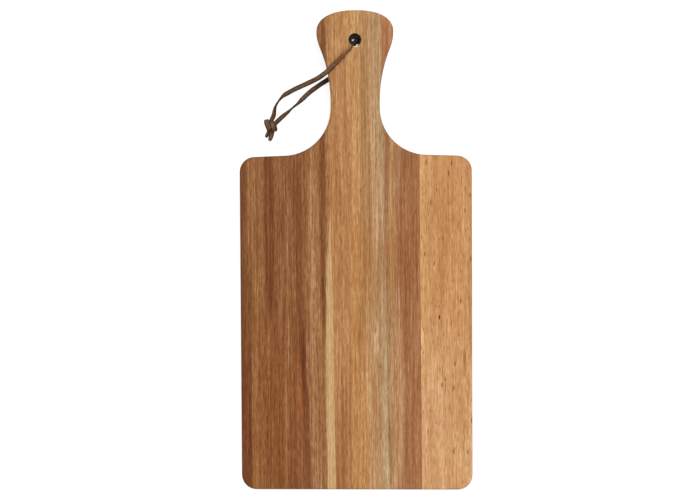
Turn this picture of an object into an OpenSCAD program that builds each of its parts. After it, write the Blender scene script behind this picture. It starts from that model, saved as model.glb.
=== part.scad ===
// Paddle serving board of edge-glued staves, lying face up on a table.
// A flat leather lace runs through the hole in the handle and ends in one knot.
// Millimetres. X across the board, Y from the foot to the handle, Z up from the table.

/* [Board] */
// Length from the foot to the top of the handle
board_l = 400; // [370:1:440]
// Width of the body
body_w = 193.5; // [175:0.5:220]
// Thickness of the wood
board_t = 15; // [12:0.5:20]
// Radius of the body's four corners
corner_r = 12.5; // [8:0.5:20]
// Radius of the round-over along the edges
edge_r = 2.5; // [1:0.25:4]

/* [Handle] */
// Length of the handle from the shoulders to its top
handle_l = 121; // [112:1:135]
// Radius of the hollow between each shoulder and the neck
shoulder_r = 39.5; // [32:0.5:44]
// Rise of each shoulder from the body's corner to the hollow
shoulder_rise = 0.8; // [0.5:0.1:2]
// Straight stretch of the neck above the hollows
neck_straight = 5; // [2:0.5:10]
// Width of the neck at its narrowest
neck_w = 41; // [34:0.5:43]
// Width of the head at its widest
head_w = 64; // [58:0.5:72]
// Drop from the top of the handle to the widest place
head_drop = 18; // [15:0.5:21]
// Radius of the head's sides below the widest place
head_side_r = 27; // [25:0.5:40]
// Squareness of the head's top, where 2 is an ellipse
crown_power = 2.3; // [2:0.05:3]

/* [Hanging hole] */
// Diameter of the hole
hole_d = 10; // [9.5:0.25:14]
// Drop from the top of the handle to the hole's centre
hole_drop = 25; // [23:0.5:28]
// Width of the bevel round both mouths of the hole
hole_bevel = 0.6; // [0.2:0.1:1]

/* [Glue joints] */
// Left joint, across from the centre line at the foot
left_joint_foot = -17.5; // [-30:0.5:-10]
// Left joint, across from the centre line at the top
left_joint_top = -23; // [-26:0.5:-21]
// Middle joint, across from the centre line at the foot
middle_joint_foot = 10; // [0:0.5:20]
// Middle joint, across from the centre line at the top
middle_joint_top = 3; // [-2:0.5:10]
// Right joint, across from the centre line at the foot
right_joint_foot = 54.5; // [40:0.5:65]
// Right joint, across from the centre line at the top
right_joint_top = 52.5; // [40:0.5:65]

/* [Lace] */
// Width of the flat lace
lace_w = 4; // [3:0.25:4.5]
// Thickness of the lace
lace_t = 1.6; // [1.2:0.1:2]
// Room between the lace and the wood
lace_gap = 0.15; // [0.1:0.05:0.4]
// Room between the lace and the table
table_gap = 0.1; // [0.08:0.01:0.2]

/* [Hidden] */

// Places along the board, from its middle
foot_y = -board_l / 2;
top_y = board_l / 2;
shoulder_y = top_y - handle_l;
hollow_y = shoulder_y + shoulder_rise + shoulder_r;
neck_y = hollow_y + neck_straight;
head_y = top_y - head_drop;
hole_y = top_y - hole_drop;

// The neck's long hollow runs tangent into the head's round side
flare_rise = head_y - neck_y;
flare_out = (head_w - neck_w) / 2;
neck_r = (flare_rise * flare_rise + flare_out * flare_out) / (2 * flare_out) - head_side_r;
flare = asin(flare_rise / (neck_r + head_side_r));

// Steps in each round stretch of the outline and in the round-over
corner_steps = 8;
shoulder_steps = 14;
neck_steps = 7;
side_steps = 5;
crown_steps = 14;
edge_steps = 4;

// The handle rests on the lace that runs beneath it, so the board lies at a small slope
rest_drop = 31;
rest_y = hole_y - rest_drop;
foot_flat_y = foot_y + edge_r;
slope = asin((table_gap + lace_t + lace_gap) / (rest_y - foot_flat_y));

// How far the cuts and the drill pass the wood
past = 5;

function arc(centre, r, from, to, steps) =
    [for (i = [0:steps]) let (a = from + (to - from) * i / steps) centre + r * [cos(a), sin(a)]];

// A quarter of a superellipse, from the widest place to just short of the top
function crown_quarter() =
    [for (i = [1:crown_steps - 1]) let (a = 90 * i / crown_steps, p = 2 / crown_power)
        [head_w / 2 * pow(cos(a), p), head_y + head_drop * pow(sin(a), p)]];

side_step = flare / side_steps;
right_side = concat(
    arc([body_w / 2 - corner_r, foot_y + corner_r], corner_r, -90, 0, corner_steps),
    arc([body_w / 2 - corner_r, shoulder_y - corner_r], corner_r, 0, 90, corner_steps),
    arc([neck_w / 2 + shoulder_r, hollow_y], shoulder_r, 270, 180, shoulder_steps),
    arc([neck_w / 2 + neck_r, neck_y], neck_r, 180, 180 - flare, neck_steps),
    arc([head_w / 2 - head_side_r, head_y], head_side_r, side_step - flare, 0, side_steps - 1),
    crown_quarter()
);
last = len(right_side) - 1;
outline = concat(
    right_side,
    [[0, top_y]],
    [for (i = [last:-1:0]) [-right_side[i].x, right_side[i].y]]
);
sides = len(outline);

// The outline drawn in by a distance, square to its own run
function drawn_in(d) =
    [for (i = [0:sides - 1])
        let (run = outline[(i + 1) % sides] - outline[(i + sides - 1) % sides], u = run / norm(run))
        outline[i] - d * [u.y, -u.x]];

function ring(d, z) = [for (p = drawn_in(d)) [p.x, p.y, z]];

// Rings from the underside, up round the lower edge, and over the upper edge to the face
rings = concat(
    [for (i = [0:edge_steps])
        let (a = 90 * i / edge_steps)
        ring(edge_r * (1 - sin(a)), edge_r * (1 - cos(a)))],
    [for (i = [edge_steps:-1:0])
        let (a = 90 * i / edge_steps)
        ring(edge_r * (1 - sin(a)), board_t - edge_r * (1 - cos(a)))]
);

// A closed skin over rings of equal counts.
// Each end is filled with rungs from one half of its ring to the other.
module skin(rings) {
    n = len(rings[0]);
    m = len(rings);
    walls = [for (k = [0:m - 2], i = [0:n - 1], half = [0, 1])
        let (j = (i + 1) % n, a = k * n + i, b = k * n + j, c = a + n, d = b + n)
        half == 0 ? [a, c, d] : [a, d, b]];
    fill = [for (i = [0:ceil(n / 2) - 2], half = [0, 1])
        if (half == 0 || n - 2 - i > i + 1)
            half == 0 ? [i, i + 1, n - 1 - i] : [i + 1, n - 2 - i, n - 1 - i]];
    far_fill = [for (f = fill) [for (i = [2:-1:0]) (m - 1) * n + f[i]]];
    polyhedron([for (r = rings) each r], concat(walls, fill, far_fill));
}

// Everything on one side of a glue joint
module beyond(foot, top, side) {
    reach = side * (body_w + past);
    lean = (top - foot) * past / board_l;
    translate([0, 0, -past])
        linear_extrude(board_t + 2 * past)
            polygon([
                [foot - lean, foot_y - past],
                [reach, foot_y - past],
                [reach, top_y + past],
                [top + lean, top_y + past]
            ]);
}

// Everything from the waist of the handle upward, or downward
module waist_on(upward) {
    translate([-body_w, upward ? neck_y : neck_y - board_l, -past])
        cube([2 * body_w, board_l, board_t + 2 * past]);
}

module drill() {
    translate([0, hole_y, -past])
        cylinder(d = hole_d, h = board_t + 2 * past, $fn = 64);
    for (z = [0, board_t])
        translate([0, hole_y, z])
            cylinder(
                h = 2 * hole_bevel, center = true, $fn = 64,
                d1 = hole_d + (z == 0 ? 4 * hole_bevel : 0),
                d2 = hole_d + (z == 0 ? 0 : 4 * hole_bevel)
            );
}

// Board frame to table frame
module lying() {
    translate([0, foot_flat_y, 0])
        rotate([slope, 0, 0])
            translate([0, -foot_flat_y, 0])
                children();
}

// Dark heartwood plank that turns to sapwood at its joint
module left_stave() {
    color("#8a5a34") lying() difference() {
        skin(rings);
        waist_on(true);
        beyond(left_joint_foot, left_joint_top, 1);
    }
}

// End of the same plank that the waist of the handle cuts off
module handle_ear() {
    color("#7d4f2f") lying() difference() {
        skin(rings);
        waist_on(false);
        beyond(left_joint_foot, left_joint_top, 1);
    }
}

// Honey-brown plank with most of the hanging hole
module centre_stave() {
    color("#b98250") lying() difference() {
        skin(rings);
        beyond(left_joint_foot, left_joint_top, -1);
        beyond(middle_joint_foot, middle_joint_top, 1);
        drill();
    }
}

// Greyish striped plank with a reddish far side
module streaked_stave() {
    color("#ad8559") lying() difference() {
        skin(rings);
        beyond(middle_joint_foot, middle_joint_top, -1);
        beyond(right_joint_foot, right_joint_top, 1);
        drill();
    }
}

// Pale tan plank
module right_stave() {
    color("#cd9a63") lying() difference() {
        skin(rings);
        beyond(right_joint_foot, right_joint_top, -1);
    }
}

// Heights of the lace's middle where it lies on the table and on the board's face
low_z = table_gap + lace_t / 2;
face_z = board_t * cos(slope) + (hole_y - foot_flat_y) * sin(slope);
high_z = face_z + lace_gap + lace_t / 2;

// Route of the lace out of the knot, over the face, through the hole and back under the neck.
// Each row: across and along from the hole, height as a share from table to face,
// direction of the lace's width, and how far the width is tipped up on edge.
loop_route = [
    [-71.7, -64.9, 0.04, -10, 40],
    [-70.3, -62.3, 0.02, -10, 24],
    [-69.2, -59.5, 0, -8, 32],
    [-68.6, -56, 0, -13, 50],
    [-67.5, -52, 0, -22, 72],
    [-65, -48, 0, -35, 78],
    [-62, -44.5, 0.01, -49, 60],
    [-58.5, -42, 0.06, -62, 25],
    [-50.5, -38.5, 0.29, -68, 8],
    [-41.5, -35.5, 0.6, -69, 0],
    [-32, -32, 0.87, -64, 0],
    [-27.5, -29.5, 0.96, -57, 0],
    [-23, -26.2, 1, -49, 0],
    [-18, -21.6, 1, -43, 20],
    [-12, -15.5, 1, -42, 38],
    [-7, -10.2, 1, -43, 36],
    [-4.7, -8, 1, -42, 30],
    [-2.5, -4.8, 0.99, -40, 22],
    [-0.5, -2.2, 0.915, -36, 12],
    [1.4, 0.7, 0.74, -33, 4],
    [2, 2, 0.5, -37, 0],
    [1.3, 1.3, 0.25, -39, 0],
    [-0.7, -0.8, 0.07, -39, 0],
    [-3.6, -4.1, 0, -39, 0],
    [-9, -11.3, 0, -36, 0],
    [-13, -18.5, 0, -36, 0],
    [-17.5, -24.5, 0, -41, 0],
    [-22.5, -29.5, 0, -52, 0],
    [-29.5, -34, 0, -57, 10],
    [-38, -40, 0, -53, 0],
    [-44.5, -46, 0, -46, 25],
    [-48.5, -50, 0, -46, 62],
    [-53.5, -54, 0, -49, 80],
    [-57, -57.2, 0, -50, 58],
    [-61.5, -60.8, 0, -50, 30],
    [-65.2, -64.2, 0.02, -50, 25],
    [-67.8, -66.9, 0.06, -50, 20]
];
long_tail_route = [
    [-70.4, -71, 0.05, -2, 12],
    [-70.9, -74.2, 0.02, -8, 6],
    [-71.8, -77.8, 0, -17, 0],
    [-73.1, -81.4, 0, -22, 0]
];
short_tail_route = [
    [-73.3, -70.8, 0.09, -15, 60],
    [-73.9, -74.2, 0.05, -15, 60],
    [-74.9, -76.6, 0.02, -25, 50],
    [-76.1, -78.3, 0, -40, 40]
];
span_steps = 2;

// Round masses of the knot where strands cross: across and along from the hole, and radius
knot_masses = [[-73.5, -67, 3.2], [-70, -70.5, 3.2], [-70, -66.5, 2.6], [-72.5, -71.5, 2.6]];

function between(a, b, c, d, t) =
    0.5 * (2 * b + (c - a) * t + (2 * a - 5 * b + 4 * c - d) * t * t
        + (3 * b - a - 3 * c + d) * t * t * t);

// A smooth run through every row
function smooth(rows) =
    let (n = len(rows) - 1)
    concat(
        [for (i = [0:n - 1], s = [0:span_steps - 1])
            between(rows[max(i - 1, 0)], rows[i], rows[i + 1], rows[min(i + 2, n)], s / span_steps)],
        [rows[n]]
    );

function on_edge(tip) = lace_w / 2 * abs(sin(tip)) + lace_t / 2 * abs(cos(tip)) - lace_t / 2;
function place(row) = [row[0], hole_y + row[1], low_z + row[2] * (high_z - low_z) + on_edge(row[4])];
function unit(v) = v / norm(v);

lace_corner = 0.25 * lace_t;
lace_section = [
    [lace_w / 2, lace_t / 2 - lace_corner], [lace_w / 2 - lace_corner, lace_t / 2],
    [lace_corner - lace_w / 2, lace_t / 2], [-lace_w / 2, lace_t / 2 - lace_corner],
    [-lace_w / 2, lace_corner - lace_t / 2], [lace_corner - lace_w / 2, -lace_t / 2],
    [lace_w / 2 - lace_corner, -lace_t / 2], [lace_w / 2, lace_corner - lace_t / 2]
];

module lace(route) {
    rows = smooth(route);
    n = len(rows) - 1;
    skin([for (i = [0:n])
        let (
            along = unit(place(rows[min(i + 1, n)]) - place(rows[max(i - 1, 0)])),
            turn = rows[i][3],
            tip = rows[i][4],
            wide = [cos(turn) * cos(tip), sin(turn) * cos(tip), sin(tip)],
            across = unit(wide - (wide * along) * along),
            up = cross(along, across)
        )
        [for (q = lace_section) place(rows[i]) + q.x * across + q.y * up]]);
}

module lace_loop() {
    color("#5b4029") lace(loop_route);
}

module lace_knot() {
    color("#64472e") hull()
        for (m = knot_masses)
            translate([m[0], hole_y + m[1], table_gap + m[2]])
                sphere(m[2], $fn = 24);
}

// The lace's two free ends
module lace_tails() {
    color("#523922") {
        lace(long_tail_route);
        lace(short_tail_route);
    }
}

left_stave();
handle_ear();
centre_stave();
streaked_stave();
right_stave();
lace_loop();
lace_knot();
lace_tails();
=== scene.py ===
# Paddle charcuterie board of edge-glued staves, with a knotted leather lace through its handle.
# Meshes are in metres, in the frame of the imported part: X across, Y to the handle, Z up.
# Rows of points and places in the materials are in millimetres.
import math

import bpy
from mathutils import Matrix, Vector


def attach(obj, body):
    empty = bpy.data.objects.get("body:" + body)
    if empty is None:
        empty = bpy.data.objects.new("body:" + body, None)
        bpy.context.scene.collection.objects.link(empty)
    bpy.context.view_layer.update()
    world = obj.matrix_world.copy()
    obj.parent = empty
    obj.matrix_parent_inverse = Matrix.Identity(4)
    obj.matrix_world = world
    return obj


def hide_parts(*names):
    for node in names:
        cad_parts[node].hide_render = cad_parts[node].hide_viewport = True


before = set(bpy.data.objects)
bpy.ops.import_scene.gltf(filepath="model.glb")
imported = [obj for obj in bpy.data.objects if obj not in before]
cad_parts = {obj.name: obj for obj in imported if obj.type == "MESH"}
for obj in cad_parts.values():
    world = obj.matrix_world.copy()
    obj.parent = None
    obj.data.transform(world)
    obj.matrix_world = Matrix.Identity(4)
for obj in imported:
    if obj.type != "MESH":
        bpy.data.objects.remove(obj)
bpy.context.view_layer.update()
scene = bpy.context.scene
scene.view_settings.view_transform = "Standard"

# The photograph's view
# The camera looks almost straight down on the serving face, a little from the right and the handle.
# It is turned by about a quarter of a degree, which leans the board as the photograph does.
aim = Vector((-0.00483, 0.00086, 0.0160))
distance = 0.750
turned_degrees = (-0.90, 1.39, -0.278)
camera = bpy.data.objects.new("camera", bpy.data.cameras.new("camera"))
scene.collection.objects.link(camera)
camera.data.sensor_width = 36
camera.data.lens = 46.36
camera.rotation_euler = [math.radians(a) for a in turned_degrees]
camera.location = aim + camera.rotation_euler.to_matrix() @ Vector((0, 0, distance))
scene.camera = camera


# The table
# A plain white sheet of card that the board lies on, lit from above.
# What the camera sees of it is lifted towards white, and the board's soft shadow stays on it.
class Flow:
    """One socket of a material, with arithmetic that adds Math nodes."""

    def __init__(self, tree, socket=None):
        self.tree = tree
        self.socket = socket

    def make(self, kind, settings=None, inputs=None, out=0):
        """Adds a node, sets it up, feeds its inputs and gives one of its outputs."""
        node = self.tree.nodes.new(kind)
        for name, value in (settings or {}).items():
            if name == "stops":
                ramp = node.color_ramp
                while len(ramp.elements) < len(value):
                    ramp.elements.new(1)
                for stop, (place, colour) in zip(ramp.elements, value):
                    stop.position = place
                    stop.color = colour
            else:
                setattr(node, name, value)
        for name, value in (inputs or {}).items():
            if isinstance(name, int):
                target = node.inputs[name]
            else:
                target = next(s for s in node.inputs if s.name == name and s.enabled)
            if isinstance(value, Flow):
                self.tree.links.new(value.socket, target)
            else:
                target.default_value = value
        outputs = [s for s in node.outputs if s.enabled]
        if isinstance(out, str):
            outputs = [s for s in outputs if s.name == out]
            out = 0
        return Flow(self.tree, outputs[out] if outputs else None)

    def maths(self, operation, a, b):
        return self.make("ShaderNodeMath", {"operation": operation}, {0: a, 1: b})

    def __add__(self, other):
        return self.maths("ADD", self, other)

    def __radd__(self, other):
        return self.maths("ADD", other, self)

    def __sub__(self, other):
        return self.maths("SUBTRACT", self, other)

    def __rsub__(self, other):
        return self.maths("SUBTRACT", other, self)

    def __mul__(self, other):
        return self.maths("MULTIPLY", self, other)

    def __rmul__(self, other):
        return self.maths("MULTIPLY", other, self)

    def __truediv__(self, other):
        return self.maths("DIVIDE", self, other)

    def __rtruediv__(self, other):
        return self.maths("DIVIDE", other, self)

    def __pow__(self, other):
        return self.maths("POWER", self, other)

    def __rpow__(self, other):
        return self.maths("POWER", other, self)

    def __abs__(self):
        return self.maths("ABSOLUTE", self, 0.0)

    def ease(self, low, high):
        """0 below low, 1 above high and a soft step between; low may be the larger."""
        return self.make(
            "ShaderNodeMapRange",
            {"interpolation_type": "SMOOTHSTEP"},
            {"Value": self, "From Min": low, "From Max": high, "To Min": 0.0, "To Max": 1.0},
        )

    def part(self, axis):
        """One coordinate of a place or a direction."""
        return self.make("ShaderNodeSeparateXYZ", {}, {"Vector": self}, out=axis)


def finish_of(name):
    """A new material, emptied, and the place where its nodes are made."""
    material = bpy.data.materials.new(name)
    material.use_nodes = True
    material.node_tree.nodes.clear()
    return material, Flow(material.node_tree)


mm = 0.001
table_half = 3.0
table_z = -0.0002
table_mesh = bpy.data.meshes.new("table")
table_mesh.from_pydata(
    [(x * table_half, y * table_half, table_z) for x, y in ((-1, -1), (1, -1), (1, 1), (-1, 1))],
    [],
    [(0, 1, 2, 3)],
)
table = bpy.data.objects.new("table", table_mesh)
scene.collection.objects.link(table)


def seen_directly(start):
    """1 for what the camera sees, also in a gloss or through glass, and 0 for light on the object."""
    rays = start.make("ShaderNodeLightPath", out="Is Camera Ray")
    gloss = start.make("ShaderNodeLightPath", out="Is Glossy Ray")
    clear = start.make("ShaderNodeLightPath", out="Is Transmission Ray")
    return (rays + gloss + clear).ease(0.0, 1.0)


# The hanging hole's place along the board and its radius, in millimetres.
hole_y = 175
hole_r = 5
hole = Vector((0, hole_y * mm, 0))

card_grey = 0.40
card_glow = 0.80
card, start = finish_of("card")
on_card = start.make("ShaderNodeTexCoord", out="Object")
card_x = on_card.part("X") / mm
card_y = on_card.part("Y") / mm - hole_y


def patch(x, y, wide, long):
    """1 in the middle of an oval on the card, in millimetres from the hole, and 0 outside it."""
    across = (card_x - x) / wide
    along = (card_y - y) / long
    return (across * across + along * along).ease(1.4, 0.6)


# Under the hanging hole the card's glow is taken away as painted shade of the board, but for two patches
# beside the lace that keep it as painted light.
shade = patch(x=0, y=1.5, wide=9, long=9)
lower_light = patch(x=0.2, y=-2.4, wide=3.4, long=2.4)
upper_light = patch(x=-0.5, y=3.2, wide=2.2, long=0.8)
shaded = shade * (1 - lower_light) * (1 - upper_light)
matt = start.make("ShaderNodeBsdfDiffuse", {}, {"Color": (card_grey, card_grey, card_grey, 1)})
white = start.make("ShaderNodeEmission", {}, {"Color": card_glow - card_glow * shaded, "Strength": 1.0})
lifted = start.make("ShaderNodeAddShader", {}, {0: matt, 1: white})
shown = start.make("ShaderNodeMixShader", {}, {0: seen_directly(start), 1: matt, 2: lifted})
start.make("ShaderNodeOutputMaterial", {}, {"Surface": shown})
table_mesh.materials.append(card)


# The light
# An even white sky gives most of it, as in a light tent.
# One broad lamp high on the right rounds the edges and sets a faint shadow to the left.
sky = bpy.data.worlds.new("sky")
scene.world = sky
sky.use_nodes = True
sky.node_tree.nodes.clear()
start = Flow(sky.node_tree)
tent = start.make("ShaderNodeBackground", {}, {"Color": (1, 1, 1, 1), "Strength": 0.62})
backdrop = start.make("ShaderNodeBackground", {}, {"Color": (1, 1, 1, 1), "Strength": 1.0})
shown = start.make("ShaderNodeMixShader", {}, {0: seen_directly(start), 1: tent, 2: backdrop})
start.make("ShaderNodeOutputWorld", {}, {"Surface": shown})
lamp_falls = Vector((-0.45, -0.35, -1.0))
lamp = bpy.data.objects.new("broad_lamp", bpy.data.lights.new("broad_lamp", "SUN"))
scene.collection.objects.link(lamp)
lamp.data.energy = 1.35
lamp.data.angle = math.radians(50)
lamp.rotation_euler = lamp_falls.to_track_quat("-Z", "Y").to_euler()


# The lace
# One flat thong of brown leather, cut square, that goes down through the hole in the handle.
# It comes back under the neck, and both ends are tied together in one overhand knot.
def linear(r, g, b):
    """A colour as it looks on screen, 0 to 255, for a shader."""
    return tuple(
        ((c / 255 + 0.055) / 1.055) ** 2.4 if c > 10 else c / 255 / 12.92 for c in (r, g, b)
    ) + (1.0,)


lace_w = 4.0 * mm
lace_t = 1.6 * mm

# Heights of the lace's middle where it lies on the table and where it lies on the handle's face.
low_z = 0.9 * mm
high_z = 17.968 * mm

# Each row: across and along from the hole in millimetres, height as a share from table to face,
# direction of the lace's width, and how far the width is tipped up on edge.
front_rows = [
    (2, 2, 0.5, -37, 0),
    (1.4, 0.7, 0.74, -33, 4),
    (-0.5, -2.2, 0.915, -36, 12),
    (-2.5, -4.8, 0.99, -40, 22),
    (-4.7, -8, 1, -42, 30),
    (-7, -10.2, 1, -43, 36),
    (-12, -15.5, 1, -42, 38),
    (-18, -21.6, 1, -43, 20),
    (-23, -26.2, 1, -49, 0),
    (-27.5, -29.5, 0.96, -57, 0),
    (-32, -32, 0.87, -64, 0),
    (-41.5, -35.5, 0.6, -69, 0),
    (-50.5, -38.5, 0.29, -68, 8),
    (-58.5, -42, 0.06, -62, 25),
    (-62, -44.5, 0.01, -49, 60),
    (-65, -48, 0, -35, 78),
    (-67.5, -52, 0, -22, 72),
    (-68.6, -56, 0, -13, 50),
    (-69.2, -59.5, 0, -8, 32),
    (-70.3, -62.3, 0.02, -10, 24),
    (-71.7, -64.9, 0.04, -10, 40),
    (-72.6, -67.3, 0.06, -10, 45),
]
back_rows = [
    (2, 2, 0.5, -37, 0),
    (1.3, 1.3, 0.25, -39, 0),
    (-0.7, -0.8, 0.07, -39, 0),
    (-3.6, -4.1, 0, -39, 0),
    (-9, -11.3, 0, -36, 0),
    (-13, -18.5, 0, -36, 0),
    (-17.5, -24.5, 0, -41, 0),
    (-22.5, -29.5, 0, -52, 0),
    (-29.5, -34, 0, -57, 10),
    (-38, -40, 0, -53, 0),
    (-44.5, -46, 0, -46, 25),
    (-48.5, -50, 0, -46, 62),
    (-53.5, -54, 0, -49, 80),
    (-57, -57.2, 0, -50, 58),
    (-61.5, -60.8, 0, -50, 30),
    (-65.2, -64.2, 0.02, -50, 25),
    (-67.8, -66.9, 0.06, -50, 20),
    (-69.2, -68.6, 0.08, -50, 20),
]


def between(a, b, c, d, t):
    """A point on the smooth curve from b to c."""
    return tuple(
        0.5
        * (
            2 * q
            + (r - p) * t
            + (2 * p - 5 * q + 4 * r - s) * t * t
            + (3 * q - p - 3 * r + s) * t**3
        )
        for p, q, r, s in zip(a, b, c, d)
    )


def smooth(rows, steps):
    """The rows with others put between them, so many steps from each to the next."""
    last = len(rows) - 1
    filled = [
        between(rows[max(i - 1, 0)], rows[i], rows[i + 1], rows[min(i + 2, last)], k / steps)
        for i in range(last)
        for k in range(steps)
    ]
    return filled + [rows[last]]


# Close to the hole the lace is squeezed to a share of its width, and further off it is free.
# The two distances from the hole are in millimetres.
squeezed = 0.76
squeezed_to, free_from = 8, 20


def on_table(row):
    """The middle of the lace at one row, the direction of its width, and the width and thickness."""
    across, along, share, swing, tip = row
    swing, tip = math.radians(swing), math.radians(tip)
    stand = (abs(math.sin(tip)) * lace_w + abs(math.cos(tip)) * lace_t - lace_t) / 2
    middle = hole + Vector((across * mm, along * mm, low_z + share * (high_z - low_z) + stand))
    wide = Vector((math.cos(swing) * math.cos(tip), math.sin(swing) * math.cos(tip), math.sin(tip)))
    free = (math.hypot(across, along) - squeezed_to) / (free_from - squeezed_to)
    free = min(1.0, max(0.0, free))
    return middle, wide, lace_w * (squeezed + (1 - squeezed) * free), lace_t


# Half of the thong's section: a flat strap with softened corners and a slightly hollow face.
strap_half = [(0.0, 0.44), (0.45, 0.47), (0.8, 0.5), (0.93, 0.42), (1.0, 0.2)]
strap_section = (
    strap_half
    + [(a, -t) for a, t in reversed(strap_half)]
    + [(-a, -t) for a, t in strap_half[1:]]
    + [(-a, t) for a, t in reversed(strap_half[1:])]
)

# The cut edges wander in two waves along the lace, in radians for each metre.
quick_wave = 0.9 / mm
slow_wave = 0.37 / mm


def thong(name, stations, wander):
    """A strap along stations of (middle, width direction, width, thickness), with closed ends."""
    count = len(strap_section)
    points = []
    texture = []
    travelled = 0.0
    for i, (middle, wide, width, thick) in enumerate(stations):
        ahead = stations[min(i + 1, len(stations) - 1)][0]
        behind = stations[max(i - 1, 0)][0]
        along = (ahead - behind).normalized()
        wide = (wide - wide.dot(along) * along).normalized()
        up = along.cross(wide)
        if i:
            travelled += (middle - stations[i - 1][0]).length
        swell = 1 + wander * math.sin(quick_wave * travelled) * math.sin(slow_wave * travelled + 1)
        for a, t in strap_section:
            points.append(middle + wide * (a * swell * width / 2) + up * (t * thick))
            texture.append((0.5 + a / 2, travelled / lace_w))
    faces = []
    for i in range(len(stations) - 1):
        for k in range(count):
            n = (k + 1) % count
            faces.append((i * count + k, i * count + n, (i + 1) * count + n, (i + 1) * count + k))
    faces.append(tuple(reversed(range(count))))
    faces.append(tuple((len(stations) - 1) * count + k for k in range(count)))
    mesh = bpy.data.meshes.new(name)
    mesh.from_pydata(points, [], faces)
    layer = mesh.uv_layers.new(name="along_the_strap")
    for loop in mesh.loops:
        layer.data[loop.index].uv = texture[loop.vertex_index]
    for face in mesh.polygons:
        face.use_smooth = len(face.vertices) == 4
    piece = bpy.data.objects.new(name, mesh)
    scene.collection.objects.link(piece)
    return piece


def blend(factor, a, b):
    """Colour a, turned into b as far as the factor says."""
    return factor.make("ShaderNodeMix", {"data_type": "RGBA"}, {"Factor": factor, "A": a, "B": b})


def scaled(colour, factor):
    """A colour made lighter or darker."""
    return colour.make("ShaderNodeVectorMath", {"operation": "SCALE"}, {0: colour, "Scale": factor})


def leather(name):
    """Worn brown leather: dark cut edges, paler on the handle from wear and a painted highlight, a
    darker lower-right edge there that is partly painted shade, and painted shade in and under the wood.
    """
    material, start = finish_of(name)
    place = start.make("ShaderNodeTexCoord", out="Object")
    side = start.make("ShaderNodeTexCoord", out="UV").part("X")
    x = place.part("X") / mm
    y = place.part("Y") / mm - hole_y
    z = place.part("Z") / mm
    mottle = start.make("ShaderNodeTexNoise", {}, {"Vector": place, "Scale": 420.0, "Detail": 3.0})
    stain = start.make("ShaderNodeTexNoise", {}, {"Vector": place, "Scale": 230.0, "Detail": 2.0})
    fleck = start.make("ShaderNodeTexNoise", {}, {"Vector": place, "Scale": 1500.0, "Detail": 3.0})
    pebble = start.make("ShaderNodeTexVoronoi", {}, {"Vector": place, "Scale": 2600.0})
    away = (x * x + y * y) ** 0.5
    # Near the hole on the handle the lace is paler: partly wear, partly a painted highlight of its lit
    # face.
    rubbed_and_lit = away.ease(18, 12) * z.ease(13, 17)
    on_wood = 0.6 * away.ease(34, 20) * z.ease(13, 17)
    tone = blend(on_wood, linear(113, 79, 45), linear(122, 74, 46))
    tone = blend(rubbed_and_lit, tone, linear(160, 110, 76))
    tone = blend(0.75 * (1 - rubbed_and_lit) * mottle.ease(0.51, 0.62), tone, linear(134, 105, 80))
    tone = blend(0.75 * (1 - rubbed_and_lit) * stain.ease(0.48, 0.38), tone, linear(90, 54, 38))
    cut_edge = 0.85 * (1 - rubbed_and_lit) * (1 - on_wood) * abs(side - 0.5).ease(0.22, 0.47)
    tone = blend(cut_edge, tone, linear(52, 36, 23))
    # On the handle the lower-right edge is darker brown: the cut edge's own colour and painted shade
    # where it faces away from the lamp.
    tone = blend(rubbed_and_lit * side.ease(0.55, 0.85), tone, linear(104, 60, 27))
    off_wood = away.ease(20, 34)
    tone = scaled(tone, (0.78 + 0.44 * fleck) * (1 - 0.17 * off_wood))
    # Painted shade where the lace lies on the table under the board's neck.
    painted_shade_under_neck = z.ease(9, 3) * away.ease(56, 40)
    tone = scaled(tone, 1 - 0.72 * painted_shade_under_neck)
    # Painted shade on the lace inside the hanging hole.
    tone = blend(away.ease(hole_r + 0.9, hole_r - 0.1), tone, linear(32, 20, 13))
    height = 0.6 * pebble + 0.8 * fleck
    bump = start.make("ShaderNodeBump", {}, {"Strength": 0.5, "Distance": 0.00012, "Height": height})
    skin = start.make(
        "ShaderNodeBsdfPrincipled",
        {},
        {
            "Base Color": tone,
            "Roughness": 0.62 + 0.2 * mottle,
            "Specular IOR Level": 0.25,
            "Normal": bump,
        },
    )
    start.make("ShaderNodeOutputMaterial", {}, {"Surface": skin})
    return material


thong_leather = leather("thong_leather")
route_steps = 6
run_wander = 0.03


def run(name, rows, taper=0.0):
    """A stretch of the lace, which loses a share of its width over its last span."""
    stations = []
    for i, row in enumerate(smooth(rows, route_steps)):
        middle, wide, width, thick = on_table(row)
        into_last = max(0.0, i / route_steps - (len(rows) - 2))
        stations.append((middle, wide, width * (1 - taper * into_last), thick))
    piece = thong(name, stations, run_wander)
    piece.data.materials.append(thong_leather)
    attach(piece, "hanging_loop")
    return piece, [s[0] for s in stations]


front_run, front_line = run("lace_front_run", front_rows)
back_run, back_line = run("lace_back_run", back_rows)
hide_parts("lace_loop")
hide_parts("lace_loop")


# The knot
# The doubled lace is turned once round itself and drawn tight.
# Its two strands lie side by side over the knot, and their ends meet underneath.
knot_middle = hole + Vector((-71.8 * mm, -69.0 * mm, 3.35 * mm))
knot_down = Vector((0.25, -0.968, 0)).normalized()
knot_side = Vector((0.968, 0.25, 0)).normalized()
knot_up = Vector((0, 0, 1))
turn_flat = 2.15 * mm
turn_from, turn_to = -85, 262
turn_steps = 48
turn_wander = 0.05
strand_w = 4.9 * mm
strand_t = 2.1 * mm
strand_pinched = 0.66


def knot_turn(name, offset, shift, half, lean):
    """One strand round the knot, at an offset to its side, shifted down it and leaning across."""
    stations = []
    for i in range(turn_steps + 1):
        angle = math.radians(turn_from + (turn_to - turn_from) * i / turn_steps)
        down = shift + half * math.cos(angle)
        across = offset + lean * math.cos(angle)
        up = turn_flat * math.sin(angle)
        middle = knot_middle + knot_down * down + knot_side * across + knot_up * up
        width = strand_w * (strand_pinched + (1 - strand_pinched) * abs(math.sin(angle)))
        stations.append((middle, knot_side, width, strand_t))
    return thong(name, stations, turn_wander)


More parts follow.
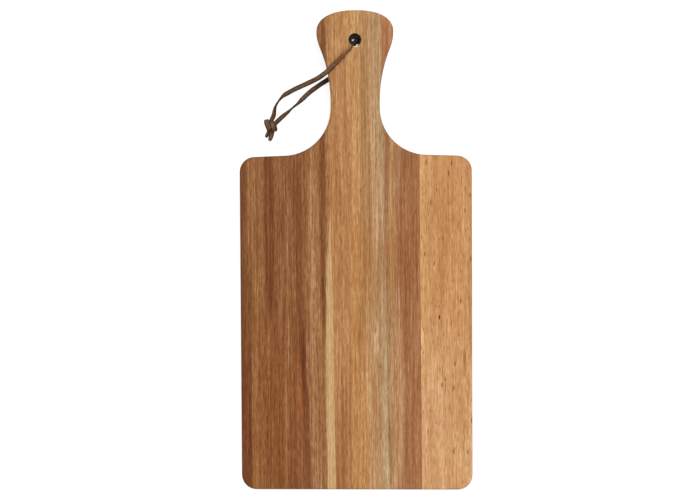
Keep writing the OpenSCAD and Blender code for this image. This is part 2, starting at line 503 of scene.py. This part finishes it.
upper_turn = knot_turn(
    "lace_knot_upper_turn", offset=-2.0 * mm, shift=-1.1 * mm, half=4.2 * mm, lean=0.3 * mm
)
lower_turn = knot_turn(
    "lace_knot_lower_turn", offset=2.3 * mm, shift=1.1 * mm, half=3.6 * mm, lean=0.3 * mm
)
for piece in (upper_turn, lower_turn):
    piece.data.materials.append(thong_leather)
    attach(piece, "hanging_loop")
    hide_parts("lace_knot")


# The tails
# The lace's two free ends come out below the knot and are cut off short.
# Each starts inside the knot, so that the turns hold it.
long_rows = [
    (-69.8, -68.5, 0.08, -2, 20),
    (-70.4, -71, 0.05, -2, 12),
    (-70.9, -74.2, 0.02, -8, 6),
    (-71.8, -77.8, 0, -17, 0),
    (-73.1, -81.4, 0, -22, 0),
]
short_rows = [
    (-72.8, -68.5, 0.12, -15, 55),
    (-73.3, -70.8, 0.09, -15, 60),
    (-73.9, -74.2, 0.05, -15, 60),
    (-74.9, -76.6, 0.02, -25, 50),
    (-76.1, -78.3, 0, -40, 40),
]
long_tail, _ = run("lace_long_tail", long_rows, taper=0.4)
short_tail, _ = run("lace_short_tail", short_rows, taper=0.5)
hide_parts("lace_tails")
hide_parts("lace_tails")


# The left stave
# A plank of dark heartwood, reddish and olive-brown in turn, planed and oiled.
# Along its glued edge it runs out into pale sapwood that narrows towards the handle.
def wood(r, g, b):
    """A wood colour as it looks on screen, less the white sheen that the oil adds to it."""
    sheen = 0.015
    return tuple(c - sheen for c in linear(r, g, b)[:3]) + (1.0,)


def streaks(place, across, along, through, seed, detail=3.0):
    """Noise drawn out along the grain, with the size of its marks in millimetres."""
    drawn = place.make(
        "ShaderNodeVectorMath",
        {"operation": "MULTIPLY"},
        {0: place, 1: (1000 / across, 1000 / along, 1000 / through)},
    )
    return place.make(
        "ShaderNodeTexNoise",
        {"noise_dimensions": "4D"},
        {"Vector": drawn, "W": seed, "Scale": 1.0, "Detail": detail, "Roughness": 0.6},
    )


# Where wood darkens, green falls off faster than red, and blue faster still.
green_fall = 1.55
blue_fall = 2.2


def deepened(colour, tone):
    """A wood colour made lighter or darker, and the redder the darker it is."""
    parts = {"X": tone, "Y": tone**green_fall, "Z": tone**blue_fall}
    tint = colour.make("ShaderNodeCombineXYZ", {}, parts)
    return colour.make("ShaderNodeVectorMath", {"operation": "MULTIPLY"}, {0: colour, 1: tint})


def bands(place, stops):
    """A run of wood colours across or along a plank, from (share, red, green, blue)."""
    listed = [(share, wood(r, g, b)) for share, r, g, b in stops]
    return place.make("ShaderNodeValToRGB", {"stops": listed}, {"Fac": place})


# The board's length, how wide the grain sways, and how far a vein's end fades to each side of it.
board_l = 400
sway_wide = 2.6
vein_fade = 25

# A vein that runs off an end of the board starts or ends out here.
past_foot, past_head = -300, 300


class Plank:
    """The material of one stave, with places on it for its own figure.

    x and y are in millimetres across and along the board, and swayed is x with the grain's bends in it.
    up runs from 0 at the foot to 1 at the top of the handle, and share from the left side to the right.
    """

    def __init__(self, name, left, right, seed):
        self.material, self.start = finish_of(name)
        self.place = self.start.make("ShaderNodeTexCoord", out="Object")
        self.seed = seed
        self.x = self.place.part("X") / mm
        self.y = self.place.part("Y") / mm
        self.up = self.y / board_l + 0.5
        sway = streaks(self.place, across=9, along=110, through=20, seed=seed, detail=2.0) - 0.5
        self.swayed = self.x + sway_wide * sway
        left_line = left[0] + (left[1] - left[0]) * self.up
        right_line = right[0] + (right[1] - right[0]) * self.up
        self.share = (self.swayed - left_line) / (right_line - left_line)

    def veined(self, colour, veins):
        """Draws veins along the grain, each with a soft outline and soft ends.

        Each row: place across at the foot and at the head, half the width, colour, strength, and
        where along the board the vein starts and ends.
        """
        for foot, head, half, tone, strength, low, high in veins:
            off_line = abs(self.swayed - (foot + (head - foot) * self.up))
            started = self.y.ease(low - vein_fade, low + vein_fade)
            not_ended = self.y.ease(high + vein_fade, high - vein_fade)
            drawn = strength * off_line.ease(1.4 * half, 0.5 * half) * (started * not_ended)
            colour = blend(drawn, colour, wood(*tone))
        return colour

    def spotted(self, colour, places, wide, long, tone):
        """Draws spots of one size and colour, each at its place across and along: pores, specks, knots,
        flecks and a painted highlight.
        """
        for x, y in places:
            across = (self.x - x) / wide
            along = (self.y - y) / long
            colour = blend((across * across + along * along).ease(1.3, 0.3), colour, linear(*tone))
        return colour

    def finish(self, colour, dark, broad, lines, fibres, flecks, pores, calm=0.0):
        """Adds grain, pores, end grain, painted shade on the hanging hole's wall and sheen to a colour
        and closes the material.

        dark is the colour of pores and end grain, and pores says how far they take it on. broad, lines,
        fibres and flecks are how strong the grain is, from the widest marks to the shortest.
        Where calm is 1, as on sapwood, the grain is half as strong and has no pores.
        """
        start, place, seed = self.start, self.place, self.seed
        line = streaks(place, across=1.6, along=160, through=6, seed=seed + 1)
        fibre = streaks(place, across=1.1, along=45, through=3, seed=seed + 2)
        fleck = streaks(place, across=0.9, along=7.5, through=1.5, seed=seed + 3)
        speck = streaks(place, across=1.0, along=7, through=1.0, seed=seed + 4, detail=1.0)
        cloud = streaks(place, across=5, along=50, through=12, seed=seed + 5, detail=2.0)
        tone = lines ** (2 * line - 1) * fibres ** (2 * fibre - 1) * flecks ** (2 * fleck - 1)
        colour = deepened(colour, (tone * broad ** (2 * cloud - 1)) ** (1 - 0.5 * calm))
        pore = speck.ease(0.63, 0.72)
        colour = blend(pore * (pores * (1 - calm)), colour, dark)
        facing = start.make("ShaderNodeNewGeometry", out="Normal")
        end_grain = abs(facing.part("Y")).ease(0.55, 0.95)
        colour = blend(0.35 * end_grain, colour, dark)
        # Painted shade on the hanging hole's wall.
        from_hole = self.y - hole_y
        away = (self.x * self.x + from_hole * from_hole) ** 0.5
        colour = blend(away.ease(hole_r + 0.45, hole_r + 0.1), colour, linear(46, 27, 16))
        height = 0.6 * fibre + 0.5 * fleck - 1.2 * pore
        bump = start.make("ShaderNodeBump", {}, {"Strength": 0.25, "Distance": 0.0002, "Height": height})
        oiled = start.make(
            "ShaderNodeBsdfPrincipled",
            {},
            {
                "Base Color": colour,
                "Roughness": 0.50 + 0.18 * fibre,
                "Specular IOR Level": 0.2,
                "Normal": bump,
            },
        )
        start.make("ShaderNodeOutputMaterial", {}, {"Surface": oiled})
        return self.material


weld_gap = 0.01 * mm
sharp_angle = math.radians(40)


def soften(name):
    """A modifier that joins a stave's facets and shades its rounded edges as one surface."""
    group = bpy.data.node_groups.new(name, "GeometryNodeTree")
    for way in ("INPUT", "OUTPUT"):
        group.interface.new_socket("Geometry", in_out=way, socket_type="NodeSocketGeometry")
    start = Flow(group)
    shape = start.make("NodeGroupInput", out="Geometry")
    shape = start.make("GeometryNodeMergeByDistance", {}, {"Geometry": shape, "Distance": weld_gap})
    shape = start.make("GeometryNodeRemoveAttribute", {}, {"Geometry": shape, "Name": "custom_normal"})
    for domain in ("FACE", "EDGE"):
        shape = start.make(
            "GeometryNodeSetShadeSmooth", {"domain": domain}, {"Geometry": shape, "Shade Smooth": True}
        )
    angle = start.make("GeometryNodeInputMeshEdgeAngle", out="Unsigned Angle")
    sharp = start.make(
        "FunctionNodeCompare", {"operation": "GREATER_THAN"}, {"A": angle, "B": sharp_angle}
    )
    shape = start.make(
        "GeometryNodeSetShadeSmooth",
        {"domain": "EDGE"},
        {"Geometry": shape, "Selection": sharp, "Shade Smooth": False},
    )
    start.make("NodeGroupOutput", {}, {"Geometry": shape})
    return group


softened = soften("softened_edges")


def dress(node, material):
    """Gives a stave's solid its finish and its softened shading."""
    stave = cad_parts[node]
    stave.data.materials.clear()
    stave.data.materials.append(material)
    joined = stave.modifiers.new("softened_edges", "NODES")
    joined.node_group = softened
    weighted = stave.modifiers.new("flat_faces", "WEIGHTED_NORMAL")
    weighted.keep_sharp = True


# Places of the joints and sides across the board, at the foot and at the top of the handle.
left_joint = (-17.5, -23.0)
middle_joint = (10.0, 3.0)
right_joint = (54.5, 52.5)
left_edge = (-96.75, -96.75)
right_edge = (96.75, 96.75)

# From the outer edge in, the heartwood is umber, olive, red-brown, tan and olive again.
heartwood = Plank("heartwood", left_edge, left_joint, seed=3.0)
towards_handle = bands(
    heartwood.share,
    [
        (0.05, 125, 80, 47),
        (0.11, 150, 103, 65),
        (0.40, 139, 91, 55),
        (0.53, 148, 100, 64),
        (0.62, 134, 85, 53),
        (0.72, 143, 95, 59),
        (0.81, 167, 118, 78),
        (0.90, 152, 104, 65),
        (1.00, 174, 124, 83),
    ],
)
towards_foot = bands(
    heartwood.share,
    [
        (0.115, 116, 68, 42),
        (0.132, 152, 102, 62),
        (0.22, 151, 100, 61),
        (0.27, 134, 84, 49),
        (0.62, 139, 87, 53),
        (0.81, 158, 110, 73),
        (0.90, 152, 104, 66),
    ],
)
colour = blend(heartwood.y.ease(-140, 50), towards_foot, towards_handle)
colour = heartwood.veined(
    colour,
    [
        (-72.0, -72.0, 4.0, (121, 73, 46), 0.9, -50, past_head),
        (-70.8, -71.2, 1.0, (108, 60, 37), 0.8, -60, past_head),
        (-61.0, -61.4, 1.5, (127, 79, 53), 0.9, -20, past_head),
        (-47.7, -47.7, 2.2, (146, 84, 51), 0.7, -150, -84),
        (-39.8, -56.0, 2.6, (112, 63, 38), 0.6, past_foot, -140),
        (-39.8, -56.0, 2.6, (112, 63, 38), 0.9, -140, -55),
        (-39.8, -56.0, 3.0, (121, 72, 44), 0.6, -55, 60),
        (-35.5, -36.0, 1.4, (174, 126, 87), 0.65, past_foot, past_head),
        (-27.2, -27.0, 1.8, (124, 76, 41), 0.8, -70, past_head),
        (-59.0, -59.0, 1.5, (154, 105, 67), 0.55, past_foot, -100),
        (-25.4, -25.4, 1.5, (127, 81, 49), 0.9, 150, past_head),
        (-30.0, -30.0, 2.0, (156, 111, 79), 0.9, 150, past_head),
    ],
)

# The sapwood takes the last tenth of the plank at the foot and runs out past the board's middle.
sap_foot, sap_tip = -197, 41
sap_share = 0.904
sap_narrows = 0.094
taper = (heartwood.y - sap_foot) / (sap_tip - sap_foot)
sap_from = sap_share + sap_narrows * taper * taper * taper
sapwood = (heartwood.share - sap_from).ease(-0.010, 0.016)
colour = blend(sapwood, colour, wood(203, 164, 115))
dark_wood = heartwood.finish(
    colour,
    dark=linear(74, 42, 26),
    broad=1.15,
    lines=1.9,
    fibres=1.95,
    flecks=2.4,
    pores=0.6,
    calm=sapwood,
)
dress("left_stave", dark_wood)

# The ear of the handle
# The far end of the same plank, which the waist of the handle cuts off from the rest.
# It keeps the plank's own figure, so it takes the same finish.
dress("handle_ear", dark_wood)

# The centre stave
# A honey-coloured plank, redder along its left side, that carries most of the hanging hole.
# It is glued edge to edge between the heartwood and the streaked plank.
honey = Plank("honey", left_joint, middle_joint, seed=17.0)
red_side = bands(
    honey.up,
    [
        (0.00, 164, 111, 71),
        (0.32, 184, 132, 85),
        (0.60, 177, 123, 76),
        (0.80, 183, 131, 85),
        (1.00, 179, 127, 81),
    ],
)
gold_side = bands(
    honey.up,
    [
        (0.00, 187, 134, 82),
        (0.40, 183, 131, 81),
        (0.51, 179, 125, 76),
        (0.66, 190, 139, 88),
        (1.00, 194, 146, 95),
    ],
)
red_side = honey.veined(
    red_side,
    [
        (-11.5, -11.5, 1.5, (152, 98, 59), 0.8, past_foot, -100),
        (-7.5, -7.5, 1.6, (175, 116, 74), 0.7, past_foot, -120),
        (-14.0, -17.0, 1.3, (166, 114, 71), 0.8, 20, 110),
        (-10.0, -13.6, 1.2, (192, 140, 91), 0.8, 60, past_head),
    ],
)

# Red turns to gold along a line that bends to the left up the handle, with a thin red vein beside it.
gold_from = -3.8 - 5.5 * honey.up.ease(0.55, 1.05)
colour = blend((honey.swayed - gold_from).ease(-0.7, 0.7), red_side, gold_side)
colour = honey.veined(colour, [(-7.0, -9.0, 0.9, (168, 112, 73), 0.65, 85, 155)])

# A painted highlight on the hole's bevel on the foot's side, where the bevel catches the light.
colour = honey.spotted(colour, [(0.6, 169.6)], wide=2.2, long=0.9, tone=(250, 238, 200))
honey_wood = honey.finish(
    colour, dark=linear(112, 66, 38), broad=1.1, lines=1.55, fibres=1.6, flecks=1.95, pores=0.45
)
dress("centre_stave", honey_wood)

# The streaked stave
# A plank with grey-green and pale pink streaks that turns to red-brown heartwood at its far side.
# Its streaks lean as its left joint does, and it is glued between the honey plank and the pale one.
streaked = Plank("streaked", middle_joint, right_joint, seed=29.0)
towards_handle = bands(
    streaked.share,
    [
        (0.12, 178, 132, 88),
        (0.22, 186, 145, 104),
        (0.36, 181, 146, 106),
        (0.39, 164, 119, 82),
        (0.44, 163, 118, 79),
        (0.51, 183, 137, 91),
        (0.62, 168, 119, 83),
        (0.71, 154, 103, 67),
        (0.97, 165, 113, 75),
    ],
)
towards_foot = bands(
    streaked.share,
    [
        (0.08, 187, 139, 96),
        (0.18, 179, 133, 91),
        (0.34, 185, 152, 111),
        (0.41, 166, 127, 86),
        (0.47, 184, 139, 98),
        (0.62, 182, 134, 94),
        (0.73, 161, 109, 73),
        (0.97, 166, 112, 75),
    ],
)
colour = blend(streaked.y.ease(-110, -20), towards_foot, towards_handle)
colour = streaked.veined(
    colour,
    [
        (25.6, 25.6, 3.6, (172, 112, 75), 0.75, 140, past_head),
        (17.5, 12.0, 0.6, (206, 162, 121), 0.8, -100, past_head),
        (26.4, 17.6, 1.0, (189, 161, 120), 0.7, past_foot, -60),
        (28.4, 19.6, 0.6, (146, 108, 72), 0.4, past_foot, -60),
    ],
)

# About the middle of the board the whole plank is a little redder.
midway = streaked.y.ease(-60, 0) * streaked.y.ease(60, 5)
colour = blend(0.3 * midway, colour, wood(160, 99, 55))
streaked_wood = streaked.finish(
    colour, dark=linear(106, 66, 40), broad=1.3, lines=1.42, fibres=1.75, flecks=1.85, pores=0.45
)
dress("streaked_stave", streaked_wood)

# The right stave
# A pale tan plank with short dark pores, brighter towards the foot, glued to the streaked one.
# It has one knot like a pin's head and a reddish fleck near its outer side.
pale = Plank("pale", right_joint, right_edge, seed=41.0)
towards_handle = bands(
    pale.share,
    [
        (0.04, 210, 160, 106),
        (0.16, 202, 149, 97),
        (0.52, 198, 141, 91),
        (0.78, 204, 149, 98),
        (0.92, 198, 144, 93),
    ],
)
towards_foot = bands(
    pale.share,
    [
        (0.10, 212, 161, 114),
        (0.27, 208, 156, 108),
        (0.50, 212, 161, 113),
        (0.68, 208, 156, 106),
        (0.90, 210, 160, 112),
    ],
)
large_pores = [
    (58.6, 73.1),
    (79.7, 72.5),
    (77.2, 64.1),
    (94.9, 46.0),
    (62.4, 39.9),
    (90.6, 33.4),
    (57.3, -3.0),
    (95.4, -6.6),
    (65.0, -10.7),
    (86.8, -42.0),
    (82.0, -94.2),
    (71.2, -111.9),
    (81.0, -114.3),
    (95.8, -142.0),
    (81.0, -167.7),
    (92.5, -167.7),
]
colour = blend(pale.y.ease(-150, -20), towards_foot, towards_handle)
colour = pale.spotted(colour, [(69.3, -55.4)], wide=0.8, long=2.3, tone=(84, 42, 20))
colour = pale.spotted(colour, [(90.0, -90.0)], wide=1.5, long=8.0, tone=(174, 110, 65))
colour = pale.spotted(colour, [(90.4, -99.0)], wide=1.1, long=8.0, tone=(186, 125, 80))
colour = pale.spotted(colour, large_pores, wide=0.6, long=2.4, tone=(140, 86, 46))
pale_wood = pale.finish(
    colour, dark=linear(126, 74, 38), broad=1.3, lines=1.2, fibres=1.4, flecks=1.75, pores=0.8
)
dress("right_stave", pale_wood)
